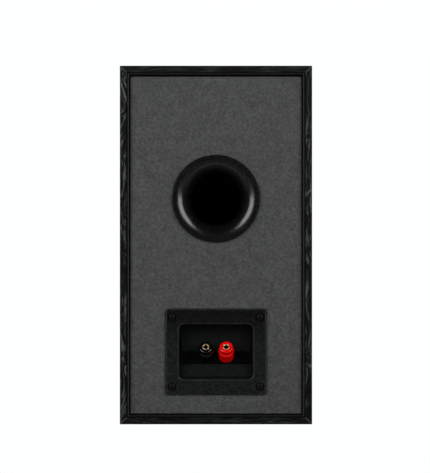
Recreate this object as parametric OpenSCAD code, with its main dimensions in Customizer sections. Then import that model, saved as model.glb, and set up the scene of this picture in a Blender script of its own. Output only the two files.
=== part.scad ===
// Two-way vented bookshelf loudspeaker. Millimetres, front faces -Y, up is +Z,
// the origin is the middle of the underside.

/* [Cabinet] */
// Cabinet width
width = 178; // [176:1:186]
// Cabinet height
height = 332; // [330:1:344]
// Cabinet depth, front of the baffle to the rear edges
cabinet_depth = 205; // [203:1:225]
// Thickness of the four mitred walls
wall = 12; // [12:0.5:13]
// Thickness of the front baffle
baffle_thickness = 15; // [15:1:16]
// How far the rear panel lies in from the rear edges
panel_recess = 4.5; // [4.5:0.5:6]
// Height of the stiffening shelf's middle
brace_z = 169; // [168:1:170]

/* [Port] */
// Height of the port's axis
port_z = 209; // [208:1:214]
// Outer diameter of the port's rim
port_rim = 81.4; // [80.6:0.2:84]
// Bore of the port
port_bore = 49; // [47:0.5:50]
// Length of the tube behind the flare
port_length = 100; // [80:5:110]

/* [Terminal cup] */
// Height of the cup's middle
cup_z = 67; // [66:1:68]
// Width of the cup's flange
cup_width = 94; // [92:1:98]
// Height of the cup's flange
cup_height = 80; // [78:1:84]
// Distance between the two binding posts
post_spacing = 19.05; // [18.5:0.05:20]
// Diameter of the plug socket in each post
post_socket = 4.1; // [4:0.05:4.2]

/* [Drivers] */
// Height of the woofer's axis
woofer_z = 100; // [98:1:101]
// Height of the tweeter's axis
tweeter_z = 245; // [244:1:248]

/* [Grille] */
// Width of the grille
grille_width = 170; // [168:1:172]
// Height of the grille
grille_height = 322; // [318:1:324]
// Depth of the grille
grille_depth = 12; // [12:1:14]

/* [Hidden] */
$fn = 64;
// Reference planes along Y
rear_y = (cabinet_depth + grille_depth) / 2;
face_y = rear_y - cabinet_depth;
inside_y = face_y + baffle_thickness;
panel_y = rear_y - panel_recess;
panel_thickness = 12;
shoulder_y = panel_y - panel_thickness;
// Rear edge: wall left behind the panel's rebate, its bevel and the panel's gap
edge = wall - 3.7;
bevel = 0.5;
gap = 1.3;
// Groove round the rear edges, from the outer faces
groove = [6.2, 7.1, 0.8];
inner = width / 2 - wall;
brace = 12;
pad = 9;
// Terminal cup, as depth from the panel's face and height from the cup's middle
opening = [68, 50.4];
flange_back = 0.6;
flange_face = 2.6;
post_tilt = 36;
post_foot = [-18, -6.7];
cup_inside = [
    [4, 25.4], [4, -25.4], [-4.5, -23.4], [-7.6, -12.1], [-14.08, -12.1],
    [-21.9, -1.34], [-0.5, 24.6]
];
cup_outside = [
    [flange_back, 27.2], [flange_back, -27.4], [-6.2, -25.8], [-9.6, -14.3],
    [-15.2, -14.3], [-24.72, -1.2], [-2.1, 26]
];
cup_screws = [81.4, 64.4];
// Binding post, along its own axis from the face it stands on
core_r = 3.05;
tail = -11;
collar_top = 2;
washer_top = 2.8;
cap_top = 18.4;
core_top = 18.7;
// Crossover board
board = [112, 68, 1.6];
board_y = 22;
board_z = wall + 5;
board_top = board_z + board[2];
// Grille
bar = 12;
cloth = 0.6;
peg = [grille_width / 2 - 7, 8];
// Screw circles of the two drivers
woofer_screw_r = 67.5;
tweeter_screw_r = 43.5;

// ---- shapes used in several places ----

function corner(w, h, r, q) = [for (i = [0:6])
    let (a = q * 90 + i * 15)
    [(q == 0 || q == 3 ? 1 : -1) * (w / 2 - r) + r * cos(a),
     (q < 2 ? 1 : -1) * (h / 2 - r) + r * sin(a)]];
function rounded(w, h, r) = [for (q = [0:3]) each corner(w, h, r, q)];
function arc(c, rx, rz, a0, a1, n) = [for (i = [0:n])
    let (a = a0 + (a1 - a0) * i / n)
    [c[0] + rx * cos(a), c[1] + rz * sin(a)]];

// A plate facing +Y from y0 to y1, drawn in X and Z
module plate(y0, y1) {
    translate([0, y1, 0]) rotate([90, 0, 0]) linear_extrude(height = y1 - y0) children();
}

// A profile drawn in depth and height, run across X
module across(w) {
    translate([-w / 2, 0, 0]) rotate([90, 0, 90]) linear_extrude(height = w) children();
}

// Placed on the baffle's face with +Z pointing out of the front
module on_front(z) {
    translate([0, face_y, z]) rotate([90, 0, 0]) children();
}

// Placed on the rear panel's face with +Z pointing out of the rear
module on_rear(z) {
    translate([0, panel_y, z]) rotate([-90, 0, 0]) children();
}

module turned(points) {
    rotate_extrude() polygon(points);
}

module ring(r0, r1, z0, z1) {
    turned([[r0, z0], [r1, z0], [r1, z1], [r0, z1]]);
}

module around(n, r, start) {
    for (i = [0:n - 1]) rotate([0, 0, start + i * 360 / n]) translate([r, 0, 0]) children();
}

module at_driver_screws() {
    on_front(woofer_z) around(6, woofer_screw_r, 30) children();
    on_front(tweeter_z) around(4, tweeter_screw_r, 45) children();
}

module at_cup_screws() {
    for (x = [-1, 1], z = [-1, 1])
        translate([x * cup_screws[0] / 2, panel_y, cup_z + z * cup_screws[1] / 2])
            rotate([-90, 0, 0]) children();
}

module at_board_screws() {
    for (x = [-1, 1], y = [-1, 1])
        translate([x * (board[0] / 2 - 6), board_y + y * (board[1] / 2 - 6), 0]) children();
}

module at_pegs() {
    for (x = [-1, 1], z = [peg[1] + 5, height - peg[1] - 5])
        translate([x * peg[0], face_y, z]) rotate([-90, 0, 0]) children();
}

// side -1 is the red post, +1 the black one; +Z runs out along the post
module at_post(side) {
    translate([side * post_spacing / 2, panel_y + post_foot[0], cup_z + post_foot[1]])
        rotate([post_tilt - 90, 0, 0]) children();
}

// A round lead swept along a smooth line through the given points
function smooth(p, i, t) =
    let (n = len(p) - 1,
         a = p[max(i - 1, 0)], b = p[i], c = p[min(i + 1, n)], d = p[min(i + 2, n)])
    0.5 * (2 * b + (c - a) * t + (2 * a - 5 * b + 4 * c - d) * t * t
        + (3 * b - 3 * c + d - a) * t * t * t);
function route(p, n) = [for (k = [0:n - 1])
    let (s = k * (len(p) - 1) / (n - 1), i = min(floor(s), len(p) - 2))
    smooth(p, i, s - i)];
function unit(v) = v / norm(v);
function swept(q, r, side) = [for (k = [0:len(q) - 1])
    let (t = unit(q[min(k + 1, len(q) - 1)] - q[max(k - 1, 0)]),
         u = unit(cross(t, side)), v = cross(t, u))
    for (j = [0:7]) q[k] + r * (cos(j * 45) * u + sin(j * 45) * v)];

module lead(points, rings, r, side) {
    body = [for (k = [0:rings - 2], j = [0:7])
        [k * 8 + j, k * 8 + (j + 1) % 8, k * 8 + 8 + (j + 1) % 8, k * 8 + 8 + j]];
    first = [[for (j = [7:-1:0]) j]];
    last = [[for (j = [0:7]) (rings - 1) * 8 + j]];
    polyhedron(swept(route(points, rings), r, side), concat(body, first, last));
}

// ---- cabinet ----

// Everything cut from the walls behind the panel's shoulder
module rear_rebate() {
    w = width / 2 - edge;
    translate([-w, shoulder_y, edge]) cube([2 * w, 40, height - 2 * edge]);
    intersection() {
        linear_extrude(height = height)
            polygon([[-w, rear_y - bevel], [-w - 3, rear_y - bevel + 3],
                     [w + 3, rear_y - bevel + 3], [w, rear_y - bevel]]);
        across(width)
            polygon([[rear_y - bevel, edge], [rear_y - bevel + 3, edge - 3],
                     [rear_y - bevel + 3, height - edge + 3], [rear_y - bevel, height - edge]]);
    }
}

module rear_groove() {
    translate([groove[0] - width / 2, rear_y - groove[2], groove[0]])
        difference() {
            cube([width - 2 * groove[0], 2, height - 2 * groove[0]]);
            translate([groove[1] - groove[0], -1, groove[1] - groove[0]])
                cube([width - 2 * groove[1], 4, height - 2 * groove[1]]);
        }
}

module upright(side) {
    difference() {
        plate(inside_y, rear_y)
            polygon([[side * width / 2, 0], [side * width / 2, height],
                     [side * inner, height - wall], [side * inner, wall]]);
        rear_rebate();
        rear_groove();
    }
}

module level(z, into) {
    difference() {
        plate(inside_y, rear_y)
            polygon([[-width / 2, z], [width / 2, z],
                     [inner, z + into * wall], [-inner, z + into * wall]]);
        rear_rebate();
        rear_groove();
    }
}

module cabinet_left() {
    color("#1c1c1d") upright(-1);
}

module cabinet_right() {
    color("#1c1c1d") upright(1);
}

module cabinet_top() {
    color("#1c1c1d") level(height, -1);
}

module cabinet_bottom() {
    color("#1c1c1d") difference() {
        level(0, 1);
        at_board_screws() translate([0, 0, 5]) cylinder(r = 1.5, h = wall);
    }
}

module front_baffle() {
    c = 3;
    color("#161617") difference() {
        intersection() {
            linear_extrude(height = height)
                polygon([[-width / 2, inside_y], [width / 2, inside_y], [width / 2, face_y + c],
                         [width / 2 - c, face_y], [c - width / 2, face_y],
                         [-width / 2, face_y + c]]);
            across(width)
                polygon([[inside_y, 0], [inside_y, height], [face_y + c, height],
                         [face_y, height - c], [face_y, c], [face_y + c, 0]]);
        }
        on_front(woofer_z) {
            translate([0, 0, -4]) cylinder(r = 73.3, h = 8);
            translate([0, 0, -30]) cylinder(r = 62, h = 40);
        }
        on_front(tweeter_z) {
            translate([0, 0, -4]) cylinder(r = 50.3, h = 8);
            translate([0, 0, -30]) cylinder(r = 37.5, h = 40);
        }
        at_driver_screws() translate([0, 0, -13.5]) cylinder(r = 1.8, h = 14);
        at_pegs() translate([0, 0, -1]) cylinder(r = 5, h = 11);
    }
}

module rear_panel() {
    w = width - 2 * edge - 2 * gap;
    h = height - 2 * edge - 2 * gap;
    color("#4b4d4e") difference() {
        translate([-w / 2, shoulder_y, edge + gap]) cube([w, panel_thickness, h]);
        on_rear(port_z) translate([0, 0, -20]) cylinder(r = 38, h = 30);
        translate([-opening[0] / 2 - 2.7, shoulder_y - 1, cup_z - 27.8])
            cube([opening[0] + 5.4, panel_thickness + 2, 55.6]);
        at_cup_screws() translate([0, 0, -10.5]) cylinder(r = 1.7, h = 12);
    }
}

module window_brace() {
    color("#a58a63") difference() {
        translate([-inner, inside_y, brace_z - brace / 2])
            cube([2 * inner, shoulder_y - inside_y, brace]);
        translate([0, 5, brace_z - brace])
            linear_extrude(height = 2 * brace) polygon(rounded(104, 110, 12));
    }
}

module side_pad(side, z0, z1) {
    x = side > 0 ? inner - pad : -inner;
    translate([x, inside_y + 4, z0]) cube([pad, shoulder_y - inside_y - 8, z1 - z0]);
}

module damping_wadding() {
    color("#d6d3c8") {
        for (side = [-1, 1]) {
            side_pad(side, wall + 2, brace_z - brace / 2 - 2);
            side_pad(side, brace_z + brace / 2 + 2, height - wall - pad - 2);
        }
        translate([2 - inner, inside_y + 4, height - wall - pad])
            cube([2 * inner - 4, shoulder_y - inside_y - 8, pad]);
    }
}

// ---- port ----

module port_flare() {
    throat = port_bore / 2;
    rim = port_rim / 2;
    color("#141415") on_rear(port_z) turned(concat(
        [[rim, 0], [rim, 1.5], [rim - 0.7, 2.2]],
        arc([38.5, -11.8], 38.5 - throat, 14, 90, 180, 10),
        [[throat, -17], [throat + 2.5, -17], [throat + 2.5, -30], [throat + 4.7, -30]],
        arc([37.8, -12], 33.1 - throat, 12, 180, 90, 6)));
}

module port_tube() {
    color("#17130f") on_rear(port_z)
        ring(port_bore / 2, port_bore / 2 + 2.5, -17 - port_length, -17);
}

// ---- woofer ----

module woofer_basket() {
    color("#26272a") on_front(woofer_z) difference() {
        turned([[73, -1.2], [73, -3.2], [60.5, -3.2], [60.5, -8], [44.5, -36],
                [44.5, -40], [33, -40], [33, -52], [15, -52], [15, -50],
                [31, -50], [31, -38], [42.5, -38], [42.5, -35.4], [58.5, -7.4],
                [58.5, -3.2], [55.5, -3.2], [55.5, -1.2]]);
        around(6, 38, 30) translate([0, -15, -34]) cube([30, 30, 25]);
        around(6, 25, 0) translate([0, 0, -45]) rotate([0, 90, 0]) cylinder(r = 3, h = 12);
        around(6, woofer_screw_r, 30) translate([0, 0, -10]) cylinder(r = 2.2, h = 20);
    }
}

module woofer_gasket() {
    color("#2b2b2b") on_front(woofer_z) difference() {
        ring(62.5, 72.5, -4, -3.2);
        around(6, woofer_screw_r, 30) translate([0, 0, -10]) cylinder(r = 2.2, h = 20);
    }
}

module woofer_trim_ring() {
    color("#1a1a1b") on_front(woofer_z) difference() {
        turned([[62.4, -1.2], [72.8, -1.2], [72.8, -0.5], [72, 0], [63.6, 0], [62.4, -0.6]]);
        around(6, woofer_screw_r, 30) translate([0, 0, -5]) cylinder(r = 3.9, h = 10);
    }
}

module woofer_surround() {
    color("#151515") on_front(woofer_z) turned(concat(
        [[62, -1.2], [62, -0.6]],
        arc([52, -0.6], 5, 5, 0, 180, 12),
        [[44, -0.6], [44, -1.2]],
        arc([52, -1.2], 4.4, 4.9, 180, 0, 12)));
}

module woofer_cone() {
    color("#232325") on_front(woofer_z)
        turned([[47, -1.2], [44, -1.2], [36, -8], [28, -16], [20, -24.5],
                [13.6, -31], [12.95, -31.4], [12.95, -34], [13.5, -34],
                [13.6, -32.2], [20.4, -25.6], [28.5, -17], [36.5, -9], [44.2, -2.2],
                [47, -2]]);
}

module woofer_dust_cap() {
    color("#1d1d1f") on_front(woofer_z) turned(concat(
        arc([0, -26.12], 19.2, 8.4, 90, 5.5, 8),
        [[18.4, -26.1]],
        arc([0, -26.5], 18.2, 8.1, 5.5, 90, 8)));
}

module woofer_spider() {
    color("#c8a25c") on_front(woofer_z) turned(concat(
        [for (i = [0:42]) [36 - i / 2, -37.5 + 0.9 * (1 - cos((36 - i / 2 - 15) * 360 / 5.25))]],
        [[12.95, -37.5], [12.95, -38]],
        [for (i = [0:42]) [15 + i / 2, -38 + 0.9 * (1 - cos(i / 2 * 360 / 5.25))]],
        [[42.4, -38], [42.4, -37.5]]));
}

module woofer_coil_former() {
    color("#b9a27a") on_front(woofer_z) ring(12.6, 12.95, -61, -29);
}

module woofer_voice_coil() {
    color("#b8743b") on_front(woofer_z) ring(12.95, 13.4, -60, -49);
}

module woofer_top_plate() {
    color("#8f9296") on_front(woofer_z) ring(13.9, 45, -57, -52);
}

module woofer_magnet() {
    color("#2e2f31") on_front(woofer_z) ring(22, 45, -73, -57);
}

module woofer_yoke() {
    color("#85888c") on_front(woofer_z)
        turned([[0, -51.5], [11.8, -51.5], [12.2, -52], [12.2, -73], [43, -73], [43, -77.5],
                [41.5, -79], [0, -79]]);
}

// Two plug tabs standing out of the board below the basket
module tabs(z) {
    for (x = [-6, 6]) translate([x - 1.6, -56.5, z]) cube([3.2, 10, 0.8]);
}

module woofer_terminals() {
    color("#c8ccd0") on_front(woofer_z) tabs(-38.1);
}

module woofer_tinsel_leads() {
    color("#b87a4a") on_front(woofer_z) for (x = [-6, 6])
        lead([[x, -48.5, -36.5], [x, -46.3, -31.4], [x, -39.5, -29.6], [x, -31, -26.9],
              [x, -24.5, -21.2]], 9, 0.8, [1, 0, 0]);
}

// ---- tweeter ----

module tweeter_faceplate() {
    color("#1b1c1d") on_front(tweeter_z) difference() {
        turned([[50, -3.4], [50, -0.6], [49.4, 0], [26, 0], [20.4, -1.8],
                [19.6, -3.4]]);
        around(4, tweeter_screw_r, 45) {
            translate([0, 0, -10]) cylinder(r = 2.2, h = 20);
            translate([0, 0, -1.2]) cylinder(r = 3.9, h = 5);
        }
    }
}

module tweeter_gasket() {
    color("#2b2b2b") on_front(tweeter_z) difference() {
        ring(38, 49.5, -4, -3.4);
        around(4, tweeter_screw_r, 45) translate([0, 0, -10]) cylinder(r = 2.2, h = 20);
    }
}

module tweeter_dome() {
    color("#101113") on_front(tweeter_z) turned(concat(
        arc([0, -18.2], 20.4, 20.4, 90, 50.8, 8),
        arc([15, -2.4], 2.1, 2, 180, 0, 8),
        [[19, -2.4], [19, -2.8]],
        arc([15, -2.8], 1.7, 2, 0, 180, 8),
        [[12.7, -2.8]],
        arc([0, -18.2], 20, 20, 51.2, 90, 8)));
}

module tweeter_voice_coil() {
    color("#b8743b") on_front(tweeter_z) ring(12.7, 13.1, -8.6, -2.8);
}

module tweeter_top_plate() {
    color("#8f9296") on_front(tweeter_z) ring(13.5, 34, -7.4, -3.4);
}

module tweeter_magnet() {
    color("#2e2f31") on_front(tweeter_z) ring(17, 35, -17, -7.4);
}

module tweeter_yoke() {
    color("#85888c") on_front(tweeter_z)
        turned([[0, -3.9], [12.3, -3.9], [12.3, -17], [34, -17], [34, -20.2], [33, -21],
                [0, -21]]);
}

module tweeter_terminals() {
    color("#c8ccd0") on_front(tweeter_z) translate([0, 11.5, 0]) tabs(-23.6);
}

// Insulating boards: one under the woofer's basket, one on the tweeter's yoke
module terminal_boards() {
    color("#8a6a3c") {
        on_front(woofer_z) translate([-11, -54, -39.9]) cube([22, 9.4, 1.8]);
        on_front(tweeter_z) translate([-11, -41, -22.8]) cube([22, 12, 1.8]);
    }
}

module driver_screws() {
    color("#0f0f10") at_driver_screws() difference() {
        union() {
            translate([0, 0, -13]) cylinder(r = 1.8, h = 12);
            turned([[0, -1.2], [3.6, -1.2], [3.6, -0.5], [2.4, 0.6], [0, 0.6]]);
        }
        translate([0, 0, -0.6]) cylinder(r = 1.6, h = 3, $fn = 6);
    }
}

// ---- crossover and wiring ----

module crossover_board() {
    color("#1f5a3a") difference() {
        union() {
            translate([-board[0] / 2, board_y - board[1] / 2, board_z]) cube(board);
            at_board_screws() translate([0, 0, wall]) cylinder(r = 4, h = 5);
        }
        at_board_screws() cylinder(r = 1.6, h = 60);
    }
}

module coil_at(x, y) {
    translate([x, y, board_top]) children();
}

module inductor_coils() {
    color("#b06a34") {
        coil_at(-31, 38) ring(9, 17.5, 1.5, 17.5);
        coil_at(34, 8) ring(7, 13.5, 1.5, 12.5);
    }
}

module inductor_bobbins() {
    color("#202021") {
        coil_at(-31, 38) turned([[7.5, 0], [18.5, 0], [18.5, 1.5], [9, 1.5], [9, 17.5],
                                 [18.5, 17.5], [18.5, 19], [7.5, 19]]);
        coil_at(34, 8) turned([[5.5, 0], [14.5, 0], [14.5, 1.5], [7, 1.5], [7, 12.5],
                               [14.5, 12.5], [14.5, 14], [5.5, 14]]);
    }
}

module can(x, y, r, l) {
    translate([x - l / 2, y, board_top + r]) rotate([0, 90, 0]) cylinder(r = r, h = l);
}

module capacitors() {
    color("#2a3f66") {
        can(-24, 6, 8, 34);
        can(22, 44, 9, 38);
    }
}

module resistor() {
    color("#e8e2d2") translate([-4, 22.2, board_top]) cube([34, 9, 9]);
}

module crossover_screws() {
    color("#b9bcc0") at_board_screws() {
        translate([0, 0, 6]) cylinder(r = 1.5, h = board_top - 6);
        translate([0, 0, board_top]) difference() {
            cylinder(r = 2.8, h = 1.8);
            translate([-1.8, -0.4, 0.9]) cube([3.6, 0.8, 2]);
        }
    }
}

module input_lead(side) {
    x = side * post_spacing / 2;
    foot = [panel_y + post_foot[0], cup_z + post_foot[1]];
    lead([[x, foot[0] - 9.1, foot[1] - 6.6], [x, foot[0] - 13.4, foot[1] - 9.9],
          [x * 1.2, foot[0] - 18, foot[1] - 18], [x * 1.5, foot[0] - 22, foot[1] - 30],
          [x * 1.6, 57, board_top + 5.4], [x * 1.6, 52, board_top + 1.2]],
         8, 1.4, [1, 0, 0]);
}

module input_lead_red() {
    color("#a81f1c") input_lead(-1);
}

module input_lead_black() {
    color("#141414") input_lead(1);
}

module woofer_lead(x) {
    lead([[x * 1.4, -8, board_top + 1.5], [x * 1.4, -16, board_top + 2.2], [x * 1.2, -32, 25.4],
          [x, -50, 32], [x, face_y + 38.2, woofer_z - 62], [x, face_y + 37.7, woofer_z - 56.7]],
         9, 1.4, [1, 0, 0]);
}

module woofer_lead_red() {
    color("#a81f1c") woofer_lead(-6);
}

module woofer_lead_black() {
    color("#141414") woofer_lead(6);
}

module tweeter_lead(x, y) {
    lead([[50, y - 6, board_top + 1.5], [58, y - 8, board_top + 6], [62, y - 8, 42],
          [61, y - 10, 90], [55, y - 14, 132], [48, y - 18, 161], [44, y - 54, 180],
          [24, y - 66, 185], [x * 1.6, face_y + 28, 188], [x, face_y + 24, tweeter_z - 51],
          [x, face_y + 23.2, tweeter_z - 45.4]],
         22, 1.4, [1, -1, 0]);
}

module tweeter_lead_red() {
    color("#a81f1c") tweeter_lead(-6, 14);
}

module tweeter_lead_black() {
    color("#141414") tweeter_lead(6, 8);
}

// ---- terminal cup and binding posts ----

module cup_block(profile, wide, deep_wide) {
    intersection() {
        translate([0, panel_y, cup_z]) across(wide + 2) polygon(profile);
        linear_extrude(height = height)
            polygon([[-deep_wide / 2, panel_y - 30], [deep_wide / 2, panel_y - 30],
                     [wide / 2, panel_y + 5], [-wide / 2, panel_y + 5]]);
    }
}

module terminal_cup() {
    color("#191a1a") difference() {
        union() {
            translate([0, 0, cup_z]) plate(panel_y + flange_back, panel_y + flange_face)
                polygon(rounded(cup_width, cup_height, 2.5));
            cup_block(cup_outside, opening[0] + 4.6, opening[0] - 3);
        }
        intersection() {
            cup_block(cup_inside, opening[0], opening[0] - 7);
            translate([0, 0, cup_z]) plate(panel_y - 40, panel_y + 10)
                polygon(rounded(opening[0], opening[1], 4.5));
        }
        for (side = [-1, 1]) at_post(side) translate([0, 0, -6]) cylinder(r = 4, h = 8);
        at_cup_screws() cylinder(r = 2, h = 6);
    }
}

module terminal_gasket() {
    color("#2b2b2b") difference() {
        translate([0, 0, cup_z]) plate(panel_y, panel_y + flange_back)
            polygon(rounded(cup_width - 2, cup_height - 2, 2));
        translate([-opening[0] / 2 - 2.7, panel_y - 1, cup_z - 27.8])
            cube([opening[0] + 5.4, 4, 55.6]);
        at_cup_screws() translate([0, 0, -1]) cylinder(r = 2, h = 6);
    }
}

module terminal_screws() {
    color("#0e0e0f") at_cup_screws() difference() {
        union() {
            translate([0, 0, -10]) cylinder(r = 1.7, h = 10 + flange_face);
            translate([0, 0, flange_face])
                turned([[0, 0], [3.25, 0], [3.1, 0.8], [2, 1.6], [0, 1.6]]);
        }
        for (a = [0, 90]) rotate([0, 0, a + 20]) translate([-1.8, -0.4, flange_face + 0.6])
            cube([3.6, 0.8, 3]);
    }
}

module post_cores() {
    color("#d9b154") for (side = [-1, 1]) at_post(side) difference() {
        translate([0, 0, tail]) cylinder(r = core_r, h = core_top - tail);
        translate([0, 0, core_top - 12]) cylinder(d = post_socket, h = 14);
        translate([-6, 0, 4.2]) rotate([0, 90, 0]) cylinder(r = 1.1, h = 12);
    }
}

module post_nuts() {
    color("#c9a548") for (side = [-1, 1]) at_post(side) difference() {
        translate([0, 0, -5.25]) cylinder(r = 5.4, h = 3, $fn = 6);
        translate([0, 0, -8]) cylinder(r = core_r, h = 8);
    }
}

module post_collar(side) {
    at_post(side) turned([[core_r, -2.2], [4, -2.2], [4, 0], [6.3, 0],
                          [6.3, collar_top - 0.5], [5.8, collar_top], [core_r, collar_top]]);
}

module post_collar_red() {
    color("#c4110f") post_collar(-1);
}

module post_collar_black() {
    color("#0c0c0d") post_collar(1);
}

module post_washer_red() {
    color("#d9b154") at_post(-1) ring(core_r + 0.07, 5.8, collar_top, washer_top);
}

module post_washer_black() {
    color("#d9b154") at_post(1) ring(core_r + 0.07, 5.8, collar_top, washer_top);
}

module post_cap(side) {
    at_post(side) difference() {
        turned([[core_r + 0.07, washer_top], [6.8, washer_top], [7.3, washer_top + 0.6],
                [7.3, 11.6], [6.15, 13.2], [6.15, cap_top - 0.5], [5.6, cap_top],
                [core_r + 0.07, cap_top]]);
        around(12, 7.8, 0) translate([0, 0, washer_top - 1]) cylinder(r = 0.9, h = 9.5);
    }
}

module post_cap_red() {
    color("#c4110f") post_cap(-1);
}

module post_cap_black() {
    color("#0c0c0d") post_cap(1);
}

// ---- grille ----

module grille_panel(w, h, y0, y1) {
    translate([-w / 2, y0, (height - h) / 2]) cube([w, y1 - y0, h]);
}

module grille_frame() {
    w = grille_width - 2 * cloth;
    h = grille_height - 2 * cloth;
    front = face_y - grille_depth + cloth;
    color("#131314") {
        difference() {
            grille_panel(w, h, front, face_y);
            grille_panel(w - 2 * bar, h - 2 * bar, front - 1, face_y + 1);
        }
        translate([-w / 2 + bar, front, 179]) cube([w - 2 * bar, 8, 10]);
        at_pegs() cylinder(r = 3, h = 8);
    }
}

module grille_cloth() {
    front = face_y - grille_depth;
    color("#0d0d0e") difference() {
        grille_panel(grille_width, grille_height, front, face_y - 3);
        grille_panel(grille_width - 2 * cloth, grille_height - 2 * cloth,
                     front + cloth, face_y);
    }
}

module grille_sockets() {
    color("#0b0b0c") at_pegs() difference() {
        cylinder(r = 5, h = 10);
        translate([0, 0, -1]) cylinder(r = 3.05, h = 10);
    }
}

cabinet_left();
cabinet_right();
cabinet_top();
cabinet_bottom();
front_baffle();
rear_panel();
window_brace();
damping_wadding();
port_flare();
port_tube();
woofer_basket();
woofer_gasket();
woofer_trim_ring();
woofer_surround();
woofer_cone();
woofer_dust_cap();
woofer_spider();
woofer_coil_former();
woofer_voice_coil();
woofer_top_plate();
woofer_magnet();
woofer_yoke();
woofer_terminals();
woofer_tinsel_leads();
tweeter_faceplate();
tweeter_gasket();
tweeter_dome();
tweeter_voice_coil();
tweeter_top_plate();
tweeter_magnet();
tweeter_yoke();
tweeter_terminals();
driver_screws();
terminal_boards();
crossover_board();
inductor_coils();
inductor_bobbins();
capacitors();
resistor();
crossover_screws();
input_lead_red();
input_lead_black();
woofer_lead_red();
woofer_lead_black();
tweeter_lead_red();
tweeter_lead_black();
terminal_cup();
terminal_gasket();
terminal_screws();
post_cores();
post_nuts();
post_collar_red();
post_collar_black();
post_washer_red();
post_washer_black();
post_cap_red();
post_cap_black();
grille_frame();
grille_cloth();
grille_sockets();
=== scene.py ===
import math

import bmesh
import bpy
from mathutils import Matrix, Vector, noise


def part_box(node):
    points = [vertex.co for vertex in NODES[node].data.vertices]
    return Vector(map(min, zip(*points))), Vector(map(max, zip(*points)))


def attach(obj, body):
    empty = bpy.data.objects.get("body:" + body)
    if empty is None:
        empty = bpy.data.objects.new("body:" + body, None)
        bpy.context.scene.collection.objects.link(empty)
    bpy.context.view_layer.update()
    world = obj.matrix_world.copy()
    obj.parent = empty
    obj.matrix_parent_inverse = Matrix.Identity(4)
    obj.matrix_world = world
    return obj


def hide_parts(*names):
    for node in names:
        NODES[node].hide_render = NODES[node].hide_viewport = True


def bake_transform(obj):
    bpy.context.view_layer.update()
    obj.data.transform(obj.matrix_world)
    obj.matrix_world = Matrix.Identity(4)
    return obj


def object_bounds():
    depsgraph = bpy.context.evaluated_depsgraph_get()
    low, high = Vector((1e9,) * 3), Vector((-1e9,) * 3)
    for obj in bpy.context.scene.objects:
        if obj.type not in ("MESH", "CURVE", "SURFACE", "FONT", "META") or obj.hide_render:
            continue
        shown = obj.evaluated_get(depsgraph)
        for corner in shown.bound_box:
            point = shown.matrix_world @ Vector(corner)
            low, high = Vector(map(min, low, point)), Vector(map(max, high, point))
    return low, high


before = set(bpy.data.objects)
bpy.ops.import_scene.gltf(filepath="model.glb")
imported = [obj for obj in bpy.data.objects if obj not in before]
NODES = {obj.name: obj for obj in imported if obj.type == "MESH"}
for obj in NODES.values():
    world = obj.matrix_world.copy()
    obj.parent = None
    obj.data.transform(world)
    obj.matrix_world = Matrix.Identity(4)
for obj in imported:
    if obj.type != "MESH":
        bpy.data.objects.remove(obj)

CAD_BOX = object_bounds()
scene = bpy.context.scene

# ---------------------------------------------------------------- places, in millimetres


def span(node):
    lo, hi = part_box(node)
    return [v * 1000 for v in lo], [v * 1000 for v in hi]


def mid(node):
    lo, hi = span(node)
    return [(a + b) / 2 for a, b in zip(lo, hi)]


FACE_Y = span("front_baffle")[0][1]
PANEL_Y = span("rear_panel")[1][1]
FLANGE_Y = span("terminal_cup")[1][1]
CUP_LO, CUP_HI = span("terminal_cup")
CUP_Z = (CUP_LO[2] + CUP_HI[2]) / 2
WOOFER_Z = mid("woofer_magnet")[2]
TWEETER_Z = mid("tweeter_magnet")[2]
PORT_Z = mid("port_tube")[2]
TUBE_R = (span("port_tube")[1][0] - span("port_tube")[0][0]) / 2
RIM_R = (span("port_flare")[1][0] - span("port_flare")[0][0]) / 2
POST_X = mid("post_collar_black")[0]
POST_TILT = math.radians(36)
POST_N = Vector((0, math.cos(POST_TILT), math.sin(POST_TILT)))
POST_FOOT = (PANEL_Y - 18, CUP_Z - 6.7)
RED, BLACK = -1, 1


def axes(origin, z, x):
    """Local millimetres to the shared frame's metres, with local z and x along the given directions."""
    z = Vector(z).normalized()
    y = z.cross(Vector(x)).normalized()
    m = Matrix((y.cross(z), y, z)).transposed().to_4x4()
    m.translation = Vector(origin)
    return Matrix.Scale(0.001, 4) @ m


WORLD = Matrix.Scale(0.001, 4)
ON_WOOFER = axes((0, FACE_Y, WOOFER_Z), (0, -1, 0), (1, 0, 0))
ON_TWEETER = axes((0, FACE_Y, TWEETER_Z), (0, -1, 0), (1, 0, 0))
ON_PORT = axes((0, PANEL_Y, PORT_Z), (0, 1, 0), (-1, 0, 0))


def on_post(side):
    return axes((side * POST_X, *POST_FOOT), POST_N, (1, 0, 0))


# ---------------------------------------------------------------- mesh code


def soft(points, n=5):
    """A closed outline of (x, y, radius) with each corner rounded by its radius."""
    out = []
    for i, (x, y, r) in enumerate(points):
        p = Vector((x, y))
        a = Vector(points[i - 1][:2]) - p
        b = Vector(points[(i + 1) % len(points)][:2]) - p
        if r <= 0 or a.length < 1e-6 or b.length < 1e-6:
            out.append((x, y))
            continue
        half = a.angle(b) / 2
        if half > math.pi / 2 - 0.02 or half < 0.02:
            out.append((x, y))
            continue
        t = min(r / math.tan(half), a.length * 0.49, b.length * 0.49)
        r = t * math.tan(half)
        a.normalize()
        b.normalize()
        c = p + (a + b).normalized() * (r / math.sin(half))
        s, e = p + a * t - c, p + b * t - c
        a0 = math.atan2(s.y, s.x)
        d = (math.atan2(e.y, e.x) - a0 + math.pi) % (2 * math.pi) - math.pi
        out += [(c.x + r * math.cos(a0 + d * k / n), c.y + r * math.sin(a0 + d * k / n))
                for k in range(n + 1)]
    return out


def arc(cx, cy, rx, ry, a0, a1, n):
    return [(cx + rx * math.cos(math.radians(a0 + (a1 - a0) * k / n)),
             cy + ry * math.sin(math.radians(a0 + (a1 - a0) * k / n))) for k in range(n + 1)]


def around(r, a, z=0):
    return (r * math.cos(a), r * math.sin(a), z)


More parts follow.
